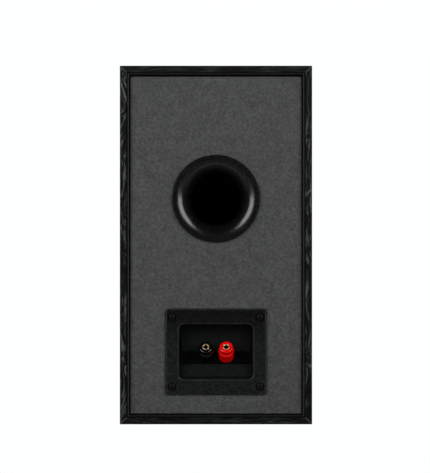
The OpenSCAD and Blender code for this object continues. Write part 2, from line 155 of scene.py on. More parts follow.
def finish_mesh(bm, place=WORLD):
    bmesh.ops.remove_doubles(bm, verts=bm.verts, dist=1e-4)
    bmesh.ops.recalc_face_normals(bm, faces=bm.faces)
    bm.transform(place)
    me = bpy.data.meshes.new("mesh")
    bm.to_mesh(me)
    bm.free()
    return me


def lathe(outline, seg=96, wave=None, a0=0.0, a1=360.0):
    """A closed outline of (radius, z) turned about z; wave(r, z, angle) may move each radius."""
    bm = bmesh.new()
    whole = a1 - a0 >= 360
    steps = seg if whole else seg + 1
    rings = []
    for r, z in outline:
        if r < 1e-6:
            rings.append([bm.verts.new((0, 0, z))])
            continue
        ring = []
        for k in range(steps):
            a = math.radians(a0 + (a1 - a0) * k / seg)
            q = wave(r, z, a) if wave else r
            ring.append(bm.verts.new((q * math.cos(a), q * math.sin(a), z)))
        rings.append(ring)
    for i, a in enumerate(rings):
        b = rings[(i + 1) % len(rings)]
        if len(a) == 1 and len(b) == 1:
            continue
        for k in range(seg):
            j = (k + 1) % steps
            if len(a) == 1:
                bm.faces.new((a[0], b[j], b[k]))
            elif len(b) == 1:
                bm.faces.new((a[k], a[j], b[0]))
            else:
                bm.faces.new((a[k], a[j], b[j], b[k]))
    if not whole:
        for k in (0, steps - 1):
            bm.faces.new([ring[k] for ring in rings])
    return bm


def loft(rings):
    """Rings of 3-D points, joined one to the next and closed at both ends."""
    bm = bmesh.new()
    rows = [[bm.verts.new(p) for p in ring] for ring in rings]
    n = len(rows[0])
    for a, b in zip(rows, rows[1:]):
        for k in range(n):
            bm.faces.new((a[k], a[(k + 1) % n], b[(k + 1) % n], b[k]))
    bm.faces.new(rows[0])
    bm.faces.new(rows[-1])
    return bm


def rounded(w, h, r, n):
    """A rectangle w by h with corners of radius r, as (x, y) points."""
    out = []
    for q, (sx, sy) in enumerate(((1, 1), (-1, 1), (-1, -1), (1, -1))):
        for k in range(n + 1):
            a = math.radians(q * 90 + 90 * k / n)
            out.append((sx * (w / 2 - r) + r * math.cos(a), sy * (h / 2 - r) + r * math.sin(a)))
    return out


def tube(path, r, sides, end_r=None):
    """A round solid along a smooth line, closed at both ends, which may have a radius of their own."""
    pts = [Vector(p) for p in path]
    u = None
    rings = []
    for i, p in enumerate(pts):
        t = (pts[min(i + 1, len(pts) - 1)] - pts[max(i - 1, 0)]).normalized()
        if u is None:
            u = t.cross(Vector((0, 0, 1)) if abs(t.z) < 0.9 else Vector((1, 0, 0))).normalized()
        else:
            u = (u - t * u.dot(t)).normalized()
        v = t.cross(u)
        q = end_r if end_r and i in (0, len(pts) - 1) else r
        rings.append([p + q * (math.cos(2 * math.pi * k / sides) * u + math.sin(2 * math.pi * k / sides) * v)
                      for k in range(sides)])
    return loft(rings)


def smooth_line(points, per):
    """Catmull-Rom through the points, with the given number of steps between two of them."""
    p = [Vector(q) for q in points]
    out = []
    for i in range(len(p) - 1):
        a, b, c, d = p[max(i - 1, 0)], p[i], p[i + 1], p[min(i + 2, len(p) - 1)]
        for k in range(per):
            t = k / per
            out.append(0.5 * (2 * b + (c - a) * t + (2 * a - 5 * b + 4 * c - d) * t * t
                              + (3 * b - 3 * c + d - a) * t ** 3))
    return out + [p[-1]]


def new_object(name, me):
    ob = bpy.data.objects.new(name, me)
    scene.collection.objects.link(ob)
    return ob


def shade(ob, sharp=35):
    me = ob.data
    me.polygons.foreach_set("use_smooth", [True] * len(me.polygons))
    me.set_sharp_from_angle(angle=math.radians(sharp))


def piece(name, bm, place, body, material, stands=(), sharp=35):
    """A finished piece of the object, riding on its body."""
    ob = new_object(name, finish_mesh(bm, place))
    ob.data.materials.append(material)
    shade(ob, sharp)
    if body:
        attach(ob, body)
    if stands:
        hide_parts(*stands)
    return ob


def carve(ob, tool, operation="DIFFERENCE"):
    """An exact boolean of two meshes in millimetres; the tool is used up."""
    m = ob.modifiers.new("carve", "BOOLEAN")
    m.operation, m.object, m.solver = operation, tool, "EXACT"
    dg = bpy.context.evaluated_depsgraph_get()
    me = bpy.data.meshes.new_from_object(ob.evaluated_get(dg))
    ob.modifiers.clear()
    ob.data = me
    bpy.data.objects.remove(tool)
    return ob


def solid(bm):
    bmesh.ops.recalc_face_normals(bm, faces=bm.faces)
    me = bpy.data.meshes.new("solid")
    bm.to_mesh(me)
    bm.free()
    return new_object("solid", me)


def rounded_edges(node, width, segments=3):
    """A CAD node's own edges, eased."""
    m = NODES[node].modifiers.new("eased", "BEVEL")
    m.width, m.segments = width / 1000, segments
    m.limit_method, m.angle_limit = "ANGLE", math.radians(30)
    m.harden_normals = False
    m.use_clamp_overlap = True


# ---------------------------------------------------------------- materials


class Look:
    """A Principled material whose detail is procedural, in the shared frame's own metres."""

    def __init__(self, name, base, rough, metal=0.0, **more):
        self.m = bpy.data.materials.new(name)
        self.m.use_nodes = True
        self.nt = self.m.node_tree
        self.nt.nodes.clear()
        self.out = self.node("ShaderNodeOutputMaterial")
        self.s = self.node("ShaderNodeBsdfPrincipled")
        self.nt.links.new(self.s.outputs[0], self.out.inputs[0])
        self.set("Base Color", (*base, 1))
        self.set("Roughness", rough)
        self.set("Metallic", metal)
        for k, v in more.items():
            self.set(k.replace("_", " "), v)
        self.m.diffuse_color = (*base, 1)
        self.normal = None
        self.coords = self.node("ShaderNodeTexCoord").outputs["Object"]

    def node(self, kind):
        return self.nt.nodes.new(kind)

    def set(self, socket, value):
        self.s.inputs[socket].default_value = value

    def link(self, a, b):
        if hasattr(a, "links"):
            self.nt.links.new(a, b)
        else:
            b.default_value = a

    def mapped(self, scale, at=None):
        n = self.node("ShaderNodeMapping")
        n.inputs["Scale"].default_value = scale
        self.link(at or self.coords, n.inputs["Vector"])
        return n.outputs[0]

    def millimetres(self):
        """X, Y and Z of the point being shaded, in millimetres."""
        n = self.node("ShaderNodeSeparateXYZ")
        self.link(self.mapped((1000, 1000, 1000)), n.inputs[0])
        return n.outputs

    def warped(self, size, amount):
        """Coordinates pushed about by a slow noise."""
        n = self.node("ShaderNodeTexNoise")
        n.inputs["Scale"].default_value = size
        n.inputs["Detail"].default_value = 2
        self.link(self.coords, n.inputs["Vector"])
        a = self.node("ShaderNodeVectorMath")
        a.operation = "SUBTRACT"
        self.link(n.outputs["Color"], a.inputs[0])
        a.inputs[1].default_value = (0.5, 0.5, 0.5)
        b = self.node("ShaderNodeVectorMath")
        b.operation = "MULTIPLY_ADD"
        self.link(a.outputs[0], b.inputs[0])
        b.inputs[1].default_value = (amount,) * 3
        self.link(self.coords, b.inputs[2])
        return b.outputs[0]

    def noise(self, scale, detail=3, rough=0.5, at=None):
        n = self.node("ShaderNodeTexNoise")
        n.inputs["Scale"].default_value = scale
        n.inputs["Detail"].default_value = detail
        n.inputs["Roughness"].default_value = rough
        self.link(at or self.coords, n.inputs["Vector"])
        return n.outputs[0]

    def cells(self, scale):
        """Distance to the nearest edge between random cells."""
        n = self.node("ShaderNodeTexVoronoi")
        n.feature = "DISTANCE_TO_EDGE"
        n.inputs["Scale"].default_value = scale
        self.link(self.coords, n.inputs["Vector"])
        return n.outputs["Distance"]

    def bands(self, pitch_mm, axis, at=None):
        """Smooth waves of the given pitch along an axis."""
        n = self.node("ShaderNodeTexWave")
        n.bands_direction = axis
        n.inputs["Scale"].default_value = 2 * math.pi / 20 / (pitch_mm / 1000)
        self.link(at or self.coords, n.inputs["Vector"])
        return n.outputs["Fac"]

    def ramp(self, fac, *stops):
        n = self.node("ShaderNodeValToRGB")
        e = n.color_ramp.elements
        while len(e) < len(stops):
            e.new(0.5)
        for el, (p, c) in zip(e, stops):
            el.position = p
            el.color = (*c, 1) if hasattr(c, "__len__") else (c, c, c, 1)
        self.link(fac, n.inputs[0])
        return n.outputs[0]

    def sum(self, a, b, op="ADD"):
        n = self.node("ShaderNodeMath")
        n.operation = op
        self.link(a, n.inputs[0])
        self.link(b, n.inputs[1])
        return n.outputs[0]

    def times(self, a, b):
        return self.sum(a, b, "MULTIPLY")

    def mixed(self, a, share, b):
        """A share of a and the rest of b."""
        return self.sum(self.times(a, share), self.times(b, 1 - share))

    def spread(self, fac, lo, hi, f0=0.3, f1=0.7):
        n = self.node("ShaderNodeMapRange")
        for s, v in zip(("From Min", "From Max", "To Min", "To Max"), (f0, f1, lo, hi)):
            n.inputs[s].default_value = v
        self.link(fac, n.inputs[0])
        return n.outputs[0]

    def colour(self, out):
        self.link(out, self.s.inputs["Base Color"])

    def colour_so_far(self):
        return self.s.inputs["Base Color"].links[0].from_socket

    def roughness(self, fac, lo, hi, f0=0.3, f1=0.7):
        self.link(self.spread(fac, lo, hi, f0, f1), self.s.inputs["Roughness"])

    def bump(self, height, depth_mm, strength=1.0):
        n = self.node("ShaderNodeBump")
        n.inputs["Strength"].default_value = strength
        n.inputs["Distance"].default_value = depth_mm / 1000
        self.link(height, n.inputs["Height"])
        if self.normal:
            self.link(self.normal, n.inputs["Normal"])
        self.normal = n.outputs[0]
        self.link(self.normal, self.s.inputs["Normal"])


def tone(c, k):
    return tuple(min(1.0, v * k) for v in c)


def band(k, value, lo, hi, soft_by=0.08):
    """1 between lo and hi (mm), 0 outside, with soft edges."""
    up = k.spread(value, 0, 1, lo - soft_by, lo + soft_by)
    down = k.spread(value, 1, 0, hi - soft_by, hi + soft_by)
    return k.times(up, down)


def wood_film(name, along, light):
    """Black open-pore wood-grain film; the grain runs along X or Z. Near the rear edge the colour holds
    painted light: a painted highlight along the mitre, painted shade in the groove, and a flat lighter tone
    on the lip and the faces further in, a painted highlight that is lighter on the upright sides than on the
    top and bottom.
    """
    k = Look(name, (0.012, 0.012, 0.0125), 0.52, Specular_IOR_Level=0.07)
    x, y, z = k.millimetres()
    half, top, back = CAD_BOX[1].x * 1000, CAD_BOX[1].z * 1000, span("cabinet_top")[1][1]
    rear = k.spread(y, 0, 1, back - 1.3, back - 1.1)
    layers = []
    for stretch, slow, push in ((0.02, 6, 0.03), (0.06, 13, 0.02 if along == "X" else 0.034)):
        at = k.mapped((stretch, 1, 1) if along == "X" else (1, 1, stretch), at=k.warped(slow, push))
        grain = k.noise(620, 2, 0.5, at)
        pores = k.noise(1500, 2, 0.6, at)
        layers.append(k.mixed(grain, 0.72, pores))
    longer, shorter = layers
    both = k.sum(longer, k.times(k.sum(shorter, longer, "SUBTRACT"), rear))
    figure = k.noise(26, 2, 0.5, k.mapped((1, 1, 0.6)))
    streaks = k.spread(both, 0, 1, 0.4, 0.62)
    film = k.times(k.times(streaks, streaks), k.spread(figure, 0.45, 1.25, 0.35, 0.65))
    from_side = k.sum(half, k.sum(x, 0, "ABSOLUTE"), "SUBTRACT")
    from_end = k.sum(z, k.sum(top, z, "SUBTRACT"), "MINIMUM")
    inset = k.sum(from_side, from_end, "MINIMUM")
    off = k.sum(k.sum(from_side, from_end, "SUBTRACT"), 0, "ABSOLUTE")
    # painted highlight: a light line along each mitre near the rear edge
    mitre_highlight = k.times(band(k, off, -1, 0.55), band(k, inset, 0.3, 6.1))
    # painted shade: the groove near the rear edge is coloured almost black
    groove_shade = band(k, inset, 6.0, 7.3)
    # painted highlight: the lip beside the rear panel, and the faces further in, take a flat lighter tone,
    # lighter on the upright sides than on the top and bottom
    lip = band(k, inset, 7.4, 60)
    lip_tone = (0.009, 0.0095, 0.0095) if along == "X" else (0.024, 0.025, 0.025)
    k.colour(k.ramp(film, (0.0, (0.0016, 0.0018, 0.0018)), (0.3, (0.006, 0.0065, 0.0065)), (1.0, light)))
    for mask, shade_to in ((mitre_highlight, (0.045, 0.047, 0.047)), (groove_shade, (0.001, 0.001, 0.001)), (lip, lip_tone)):
        n = k.node("ShaderNodeMix")
        n.data_type = "RGBA"
        k.link(mask if mask is lip else k.times(mask, rear), n.inputs[0])
        k.link(k.colour_so_far(), n.inputs[6])
        n.inputs[7].default_value = (*shade_to, 1)
        k.colour(n.outputs[2])
    k.roughness(both, 0.46, 0.58)
    k.bump(both, 0.12, 0.6)
    return k.m


def moulded(name, base, rough, grain=900, depth=0.03, level=0.5):
    """Moulded plastic with a fine eroded texture."""
    k = Look(name, base, rough, Specular_IOR_Level=level)
    n = k.noise(grain, 3, 0.65)
    big = k.noise(35, 2, 0.5)
    k.colour(k.ramp(k.mixed(n, 0.5, big), (0.3, tone(base, 0.72)), (0.7, tone(base, 1.3))))
    k.roughness(n, max(0.03, rough - 0.07), min(1, rough + 0.09))
    k.bump(n, depth, 0.7)
    return k.m


def metal(name, base, rough):
    """Metal brushed along Z."""
    k = Look(name, base, rough, 1.0)
    n = k.noise(1500, 2, 0.6, k.mapped((1, 1, 0.05)))
    k.colour(k.ramp(k.noise(120, 3), (0.3, tone(base, 0.86)), (0.7, tone(base, 1.08))))
    k.roughness(n, max(0.04, rough - 0.07), rough + 0.1)
    k.bump(n, 0.01, 0.5)
    return k.m


def cloth(name, base, pitch_mm, rough=0.9, depth=0.12):
    """Crossed threads of the given pitch."""
    k = Look(name, base, rough, Sheen_Weight=0.12, Sheen_Roughness=0.5)
    at = k.warped(160, 0.0003)
    weave = k.times(k.bands(pitch_mm, "X", at), k.bands(pitch_mm, "Z", at))
    worn = k.noise(70, 3)
    k.colour(k.ramp(k.mixed(weave, 0.75, worn),
                    (0.05, tone(base, 0.4)), (0.5, base), (0.95, tone(base, 1.8))))
    k.roughness(weave, rough - 0.1, min(1.0, rough + 0.05), 0, 1)
    k.bump(weave, depth, 0.9)
    k.bump(k.noise(2600, 2), 0.03, 0.5)
    return k.m


def rear_film():
    """Grained grey-black film: fine pits within soft blotches a few millimetres across."""
    k = Look("rear_film", (0.044, 0.0455, 0.0448), 0.66, Specular_IOR_Level=0.25)
    pits = k.noise(900, 3, 0.6)
    grain = k.noise(430, 2, 0.6)
    blot = k.noise(120, 2, 0.5)
    both = k.sum(k.times(grain, 0.62), k.sum(k.times(pits, 0.2), k.times(blot, 0.18)))
    k.colour(k.ramp(both, (0.36, (0.0237, 0.0249, 0.0244)), (0.5, (0.0400, 0.0418, 0.0410)),
                    (0.64, (0.0600, 0.0626, 0.0615))))
    k.roughness(grain, 0.58, 0.76)
    k.bump(k.mixed(grain, 0.6, pits), 0.12, 0.8)
    return k.m


def cup_look(name, base, rough, level, depth=0.08, painted_light_by_height=None, speck=1.0):
    """Coarse spark-eroded moulding. The optional argument after depth gives two heights above the cup's
    middle and the tone at each; between them the colour is scaled from one tone to the other, a painted
    gradient of light and shade.
    """
    k = Look(name, base, rough, Specular_IOR_Level=level)
    grain = k.noise(560, 2, 0.55)
    pits = k.noise(1200, 3, 0.6)
    both = k.mixed(grain, 0.65, pits)
    k.colour(k.ramp(both, (0.38, tone(base, 1 - 0.58 * speck)), (0.5, base),
                    (0.62, tone(base, 1 + 0.9 * speck))))
    # painted light and shade: the colour is scaled by height between the two tones
    if painted_light_by_height:
        low, high, tone_low, tone_high = painted_light_by_height
        height = k.millimetres()[2]
        scaled = k.node("ShaderNodeVectorMath")
        scaled.operation = "SCALE"
        k.link(k.colour_so_far(), scaled.inputs[0])
        k.link(k.spread(height, tone_low, tone_high, CUP_Z + low, CUP_Z + high), scaled.inputs["Scale"])
        k.colour(scaled.outputs[0])
    k.roughness(pits, rough - 0.06, rough + 0.1)
    k.bump(both, depth, 0.7)
    return k.m


# painted light: lit and shaded copies of one film, the upright sides with lighter grain streaks and a lighter
# lip tone than the top and bottom
FILM_Z = wood_film("wood_film_upright", "Z", (0.056, 0.06, 0.059))
FILM_X = wood_film("wood_film_level", "X", (0.02, 0.0225, 0.022))
REAR = rear_film()
BAFFLE = moulded("baffle_paint", (0.014, 0.014, 0.0145), 0.42, 700, 0.03, 0.4)
FLARE = cup_look("flare_plastic", (0.0027, 0.003, 0.0029), 0.2, 0.42, 0.004)
# painted shade: the flare rim's outer wall and fillet take a rougher, low-specular, slightly darker copy of
# the flare plastic
FLARE_EDGE = moulded("flare_plastic_edge", (0.0024, 0.0026, 0.0025), 0.6, 900, 0.02, 0.05)
# painted shade: the flange darkens upward, from 1.12 times its tone 4 mm above the cup's middle to 0.36 times
# at 36 mm
CUP = cup_look("cup_plastic", (0.0059, 0.0069, 0.0064), 0.5, 0.05, painted_light_by_height=(4, 36, 1.12, 0.36))
# painted light: the roof inside the mouth, three times its tone near its lower edge and half at its top, as
# if lit from the floor below
CUP_ROOF = cup_look("cup_plastic_roof", (0.0041, 0.0052, 0.0047), 0.55, 0.03,
                    painted_light_by_height=(3, 22, 3, 0.5), speck=0.45)
# painted light: the lower slope inside the mouth is lighter than the face above it
CUP_SLOPE = cup_look("cup_plastic_slope", (0.0044, 0.0053, 0.0049), 0.55, 0.03, speck=0.6)
# painted highlight: a lighter line on the fillet round the flange's outer edge
CUP_RIM = cup_look("cup_plastic_rim", (0.0135, 0.0152, 0.0144), 0.4, 0.15)
# painted shade: the face that carries the posts is near black
CUP_INSIDE = cup_look("cup_plastic_inside", (0.0018, 0.0024, 0.0021), 0.55, 0.02)
# painted highlight: a lighter line on the fillet round the mouth's lip
CUP_EDGE = cup_look("cup_plastic_edge", (0.0098, 0.0111, 0.0105), 0.4, 0.12)
POST_RED = moulded("post_red", (0.62, 0.001, 0.0015), 0.15, 500, 0.004, 0.55)
POST_BLACK = moulded("post_black", (0.0016, 0.0017, 0.0021), 0.11, 500, 0.004, 0.75)
GOLD = metal("gold_plate", (0.83, 0.62, 0.3), 0.2)
# painted shade: a dark, dull copy of the gold plate for the inside of the banana sockets
BORE_SHADE = metal("socket_bore_shaded", (0.02, 0.014, 0.006), 0.55)
GOLD_RIM = metal("gold_plate_rim", (0.58, 0.43, 0.24), 0.36)
SCREW = moulded("black_oxide", (0.0045, 0.0048, 0.0047), 0.45, 700, 0.02, 0.08)
BASKET = moulded("basket_coat", (0.012, 0.012, 0.013), 0.38, 500, 0.05)
RUBBER = moulded("surround_rubber", (0.008, 0.008, 0.008), 0.5, 260, 0.02, 0.4)
FOAM = moulded("foam", (0.012, 0.012, 0.012), 0.9, 1500, 0.15)
TRIM = moulded("trim_rubber", (0.011, 0.011, 0.0115), 0.6, 900, 0.04)
FERRITE = moulded("ferrite", (0.03, 0.03, 0.032), 0.6, 300, 0.08)
STEEL = metal("zinc_steel", (0.5, 0.5, 0.51), 0.35)
TAB = metal("tinned_tab", (0.62, 0.62, 0.63), 0.28)
# painted shade: the tweeter's tabs, seen through the port, take a dark, rough copy of the tinned metal
TAB_SHADED = metal("tinned_tab_shaded", (0.07, 0.07, 0.072), 0.6)
FACEPLATE = moulded("faceplate_plastic", (0.012, 0.012, 0.0125), 0.45, 900, 0.03)
BOBBIN = moulded("bobbin_plastic", (0.012, 0.012, 0.012), 0.4, 500, 0.01)
GRILLE = moulded("grille_plastic", (0.01, 0.01, 0.0105), 0.5, 700, 0.03)
KNIT = cloth("grille_knit", (0.0085, 0.0085, 0.009), 0.9)
WIRE_RED = moulded("wire_red", (0.42, 0.012, 0.01), 0.38, 400, 0.01)
WIRE_BLACK = moulded("wire_black", (0.012, 0.012, 0.012), 0.38, 400, 0.01)


def board_look():
    k = Look("circuit_board", (0.012, 0.075, 0.035), 0.3, Coat_Weight=0.4)
    tracks = k.cells(70)
    k.colour(k.ramp(tracks, (0.05, (0.006, 0.04, 0.02)), (0.09, (0.014, 0.09, 0.042))))
    k.bump(k.ramp(tracks, (0.05, 0.0), (0.09, 1.0)), 0.04)
    k.bump(k.noise(900), 0.01)
    return k.m


def mdf_look():
    k = Look("fibreboard", (0.36, 0.24, 0.13), 0.85)
    fibres = k.noise(900, 4, 0.7, k.mapped((1, 1, 2.5)))
    k.colour(k.ramp(fibres, (0.3, (0.27, 0.18, 0.1)), (0.7, (0.45, 0.32, 0.19))))
    k.bump(fibres, 0.08)
    return k.m


def winding_look(name, axis):
    """Enamelled wire laid turn beside turn."""
    k = Look(name, (0.6, 0.22, 0.08), 0.25, 1.0, Coat_Weight=0.5)
    wires = k.bands(1.1, axis)
    k.colour(k.ramp(wires, (0.0, (0.2, 0.055, 0.02)), (0.35, (0.58, 0.21, 0.08)), (1.0, (0.72, 0.3, 0.13))))
    k.roughness(k.noise(300), 0.18, 0.34)
    k.bump(wires, 0.4)
    return k.m


def paper_look(name, base, streak=1.0):
    k = Look(name, base, 0.7, Specular_IOR_Level=0.35)
    pulp = k.noise(420, 5, 0.7)
    big = k.noise(80, 3, 0.6)
    k.colour(k.ramp(k.mixed(pulp, 0.6, big), (0.3, tone(base, 0.6)), (0.7, tone(base, 1.5))))
    k.roughness(pulp, 0.55, 0.8)
    k.bump(pulp, 0.1 * streak)
    return k.m


BOARD = board_look()
MDF = mdf_look()
CONE = paper_look("cone_paper", (0.014, 0.014, 0.0145))
CARD = paper_look("tube_card", (0.003, 0.0028, 0.0026))
CARD.node_tree.nodes["Principled BSDF"].inputs["Specular IOR Level"].default_value = 0.05
FORMER = paper_look("coil_former", (0.42, 0.26, 0.1), 0.3)
FIBRE = paper_look("fibre_board", (0.02, 0.018, 0.016), 0.5)
SPIDER = cloth("spider_cloth", (0.5, 0.33, 0.13), 0.7, 0.75)
DOME = cloth("dome_silk", (0.01, 0.01, 0.011), 0.35, 0.55, 0.03)
TINSEL = cloth("tinsel_braid", (0.5, 0.26, 0.12), 0.5, 0.5)
COPPER_Z = winding_look("copper_winding", "Z")
COPPER_Y = winding_look("voice_winding", "Y")
FILM_BLUE = moulded("capacitor_film", (0.02, 0.05, 0.17), 0.25, 300, 0.02)
CEMENT = moulded("resistor_cement", (0.7, 0.66, 0.58), 0.8, 700, 0.1)


def wadding_look():
    k = Look("wadding", (0.72, 0.7, 0.64), 0.95, Sheen_Weight=0.4)
    fibres = k.noise(220, 5, 0.75, k.warped(90, 0.004))
    k.colour(k.ramp(fibres, (0.3, (0.55, 0.53, 0.47)), (0.7, (0.82, 0.8, 0.74))))
    k.bump(fibres, 0.9)
    k.bump(k.noise(900, 3, 0.7), 0.3)
    return k.m


WADDING = wadding_look()

for names, material in (
    (("cabinet_left", "cabinet_right"), FILM_Z), (("cabinet_top", "cabinet_bottom"), FILM_X),
    (("front_baffle",), BAFFLE), (("rear_panel",), REAR), (("window_brace",), MDF),
    (("damping_wadding",), WADDING), (("port_flare",), FLARE), (("port_tube",), CARD),
    (("woofer_basket",), BASKET), (("woofer_gasket", "tweeter_gasket", "terminal_gasket"), FOAM),
    (("woofer_trim_ring",), TRIM), (("woofer_surround",), RUBBER), (("woofer_cone", "woofer_dust_cap"), CONE),
    (("woofer_spider",), SPIDER), (("woofer_coil_former",), FORMER),
    (("woofer_voice_coil", "tweeter_voice_coil"), COPPER_Y), (("inductor_coils",), COPPER_Z),
    (("woofer_top_plate", "tweeter_top_plate", "crossover_screws"), STEEL),
    (("woofer_yoke", "tweeter_yoke"), BASKET), (("woofer_magnet", "tweeter_magnet"), FERRITE),
    (("woofer_terminals",), TAB), (("tweeter_terminals",), TAB_SHADED),
    (("woofer_tinsel_leads",), TINSEL), (("terminal_boards",), FIBRE), (("tweeter_faceplate",), FACEPLATE),
    (("tweeter_dome",), DOME), (("driver_screws", "terminal_screws"), SCREW), (("crossover_board",), BOARD),
    (("inductor_bobbins",), BOBBIN), (("capacitors",), FILM_BLUE), (("resistor",), CEMENT),
    (("input_lead_red", "woofer_lead_red", "tweeter_lead_red"), WIRE_RED),
    (("input_lead_black", "woofer_lead_black", "tweeter_lead_black"), WIRE_BLACK),
    (("terminal_cup",), CUP), (("post_cores", "post_nuts", "post_washer_red", "post_washer_black"), GOLD),
    (("post_collar_red", "post_cap_red"), POST_RED), (("post_collar_black", "post_cap_black"), POST_BLACK),
    (("grille_frame",), GRILLE), (("grille_cloth",), KNIT), (("grille_sockets",), FOAM),
):
    for name in names:
        me = NODES[name].data
        me.materials.clear()
        me.materials.append(material)

# ---------------------------------------------------------------- cabinet

for name in ("cabinet_left", "cabinet_right", "cabinet_top", "cabinet_bottom"):
    rounded_edges(name, 0.5)
rounded_edges("front_baffle", 0.8)
rounded_edges("rear_panel", 0.3, 2)

# ---------------------------------------------------------------- port

throat = TUBE_R - 2.5
flare = ([(RIM_R, 0), (RIM_R, 1.85)] + arc(RIM_R - 0.35, 1.85, 0.35, 0.35, 0, 90, 4)[1:]
         + arc(38.5, -11.8, 38.5 - throat, 14, 90, 180, 32)
         + [(throat, -17), (throat + 2.5, -17), (throat + 2.5, -30), (throat + 4.7, -30)]
         + arc(37.8, -12, 33.1 - throat, 12, 180, 90, 10))
mouth_piece = piece("flare", lathe(flare, 128), ON_PORT, "cabinet", FLARE,
                    ["port_flare"], 40)
mouth_piece.data.materials.append(FLARE_EDGE)
# painted shade on the rim's outer wall and fillet
for face in mouth_piece.data.polygons:
    if math.hypot(face.center.x * 1000, face.center.z * 1000 - PORT_Z) > RIM_R - 0.3:
        face.material_index = 1
lo, hi = span("port_tube")
tube_back, tube_front = lo[1] - PANEL_Y, hi[1] - PANEL_Y
piece("tube", lathe(soft([(throat, tube_front, 0), (throat, tube_back, 0.8), (TUBE_R, tube_back, 0.8),
                          (TUBE_R, tube_front, 0)]), 96),
      ON_PORT, "cabinet", CARD, ["port_tube"])

# ---------------------------------------------------------------- terminal cup

CUP_W, CUP_H = CUP_HI[0] - CUP_LO[0], CUP_HI[2] - CUP_LO[2]
CUP_CORNER, CUP_ROUND = 2.5, 1.2
MOUTH_W, MOUTH_H, MOUTH_CORNER, MOUTH_ROUND = 68.0, 50.4, 4.5, 1.6
CUP_SCREW_X, CUP_SCREW_Z = 40.7, 32.2


def cup_ring(w, h, r, y, n):
    return [(x, y, CUP_Z + z) for x, z in rounded(w, h, r, n)]


rings = [cup_ring(CUP_W, CUP_H, CUP_CORNER, span("terminal_gasket")[1][1], 8)]
for k in range(6):
    a = math.radians(90 * k / 5)
    inset = CUP_ROUND * (1 - math.cos(a))
    rings.append(cup_ring(CUP_W - 2 * inset, CUP_H - 2 * inset, CUP_CORNER - inset,
                          FLANGE_Y - CUP_ROUND + CUP_ROUND * math.sin(a), 8))
cup = solid(loft(rings))


def prism(profile, x0, x1):
    """A profile of (depth from the panel's face, height from the cup's middle) carried along X."""
    return loft([[(x, PANEL_Y + y, CUP_Z + z) for y, z in profile] for x in (x0, x1)])


def wedge(wide, deep, y0, y1):
    """A block across the cup, narrower towards its back."""
    low, high = CUP_Z - 60, CUP_Z + 60
    return loft([[(-w / 2, y, low), (w / 2, y, low), (w / 2, y, high), (-w / 2, y, high)]
                 for w, y in ((deep, y0), (wide, y1))])


shell = solid(prism([(0.6, 27.2), (0.6, -27.4), (-6.2, -25.8), (-9.6, -14.3), (-15.2, -14.3),
                     (-24.72, -1.2), (-2.1, 26)], -45, 45))
carve(shell, solid(wedge(MOUTH_W + 4.6, MOUTH_W - 3, PANEL_Y - 30, PANEL_Y + 5)), "INTERSECT")
carve(cup, shell, "UNION")
hollow = solid(prism(soft([(8, 34, 0), (8, -34, 0), (1.0, -25.3, 0), (-4.5, -23.4, 1.2), (-7.6, -12.1, 1.6),
                           (-14.08, -12.1, 1.2), (-21.9, -1.34, 1.2), (-0.5, 24.6, 0.8), (1.0, 25.3, 0)]),
                     -45, 45))


def mouth_ring(grow, y):
    return cup_ring(MOUTH_W + 2 * grow, MOUTH_H + 2 * grow, MOUTH_CORNER + grow, y, 10)


rings = [mouth_ring(MOUTH_ROUND, FLANGE_Y + 2)]
for k in range(8):
    a = math.radians(90 * k / 7)
    rings.append(mouth_ring(MOUTH_ROUND * (1 - math.sin(a)), FLANGE_Y - MOUTH_ROUND * (1 - math.cos(a))))
rings.append(cup_ring(MOUTH_W - 7, MOUTH_H, 3.5, PANEL_Y - 30, 10))
carve(hollow, solid(loft(rings)), "INTERSECT")
carve(cup, hollow)
for x in (-1, 1):
    hole = solid(lathe([(0, -8), (4, -8), (4, 2), (0, 2)], 48))
    hole.data.transform(Matrix.Scale(1000, 4) @ on_post(x))
    carve(cup, hole)
for x, z in ((1, 1), (-1, 1), (1, -1), (-1, -1)):
    ring = solid(lathe([(3.2, -1.1), (3.95, -1.1), (4.1, 0.0), (4.1, 1), (3.2, 1)], 40))
    ring.data.transform(Matrix.Translation((x * CUP_SCREW_X, FLANGE_Y, CUP_Z + z * CUP_SCREW_Z))
                        @ Matrix.Rotation(-math.pi / 2, 4, "X"))
    carve(cup, ring)
bm = bmesh.new()
bm.from_mesh(cup.data)
bpy.data.objects.remove(cup)
cup = piece("cup", bm, WORLD, "cabinet", CUP, ["terminal_cup"], 30)
INSIDE, EDGE, ROOF, RIM, SLOPE = range(1, 6)
for material in (CUP_INSIDE, CUP_EDGE, CUP_ROOF, CUP_RIM, CUP_SLOPE):
    cup.data.materials.append(material)
# Faces of the one moulding take lit and shaded copies of its material: painted light on the roof and lower
# slope, painted shade on the face that carries the posts, painted highlight lines on the edge fillets.
for face in cup.data.polygons:
    x, y, z = face.center * 1000
    mouth_in = abs(x) < MOUTH_W / 2 + 0.1 and abs(z - CUP_Z) < MOUTH_H / 2 + 0.1
    near_edge = min(CUP_W / 2 - abs(x), CUP_H / 2 - abs(z - CUP_Z)) < CUP_ROUND + 0.1
    if mouth_in and y < PANEL_Y + 0.4:
        face.material_index = ROOF if z > CUP_Z - 1.3 else INSIDE if z > CUP_Z - 12.3 else SLOPE
    elif y > FLANGE_Y - CUP_ROUND and (0.75 if near_edge else 0.35) < face.normal.y < 0.995:
        face.material_index = RIM if near_edge else EDGE

# ---------------------------------------------------------------- screws


def copies(bm, places):
    """One mesh repeated at each place."""
    me = bpy.data.meshes.new("one")
    bmesh.ops.recalc_face_normals(bm, faces=bm.faces)
    bm.to_mesh(me)
    bm.free()
    out = bmesh.new()
    for m in places:
        at = len(out.verts)
        out.from_mesh(me)
        out.verts.ensure_lookup_table()
        bmesh.ops.transform(out, matrix=m, verts=out.verts[at:])
    bpy.data.meshes.remove(me)
    return out


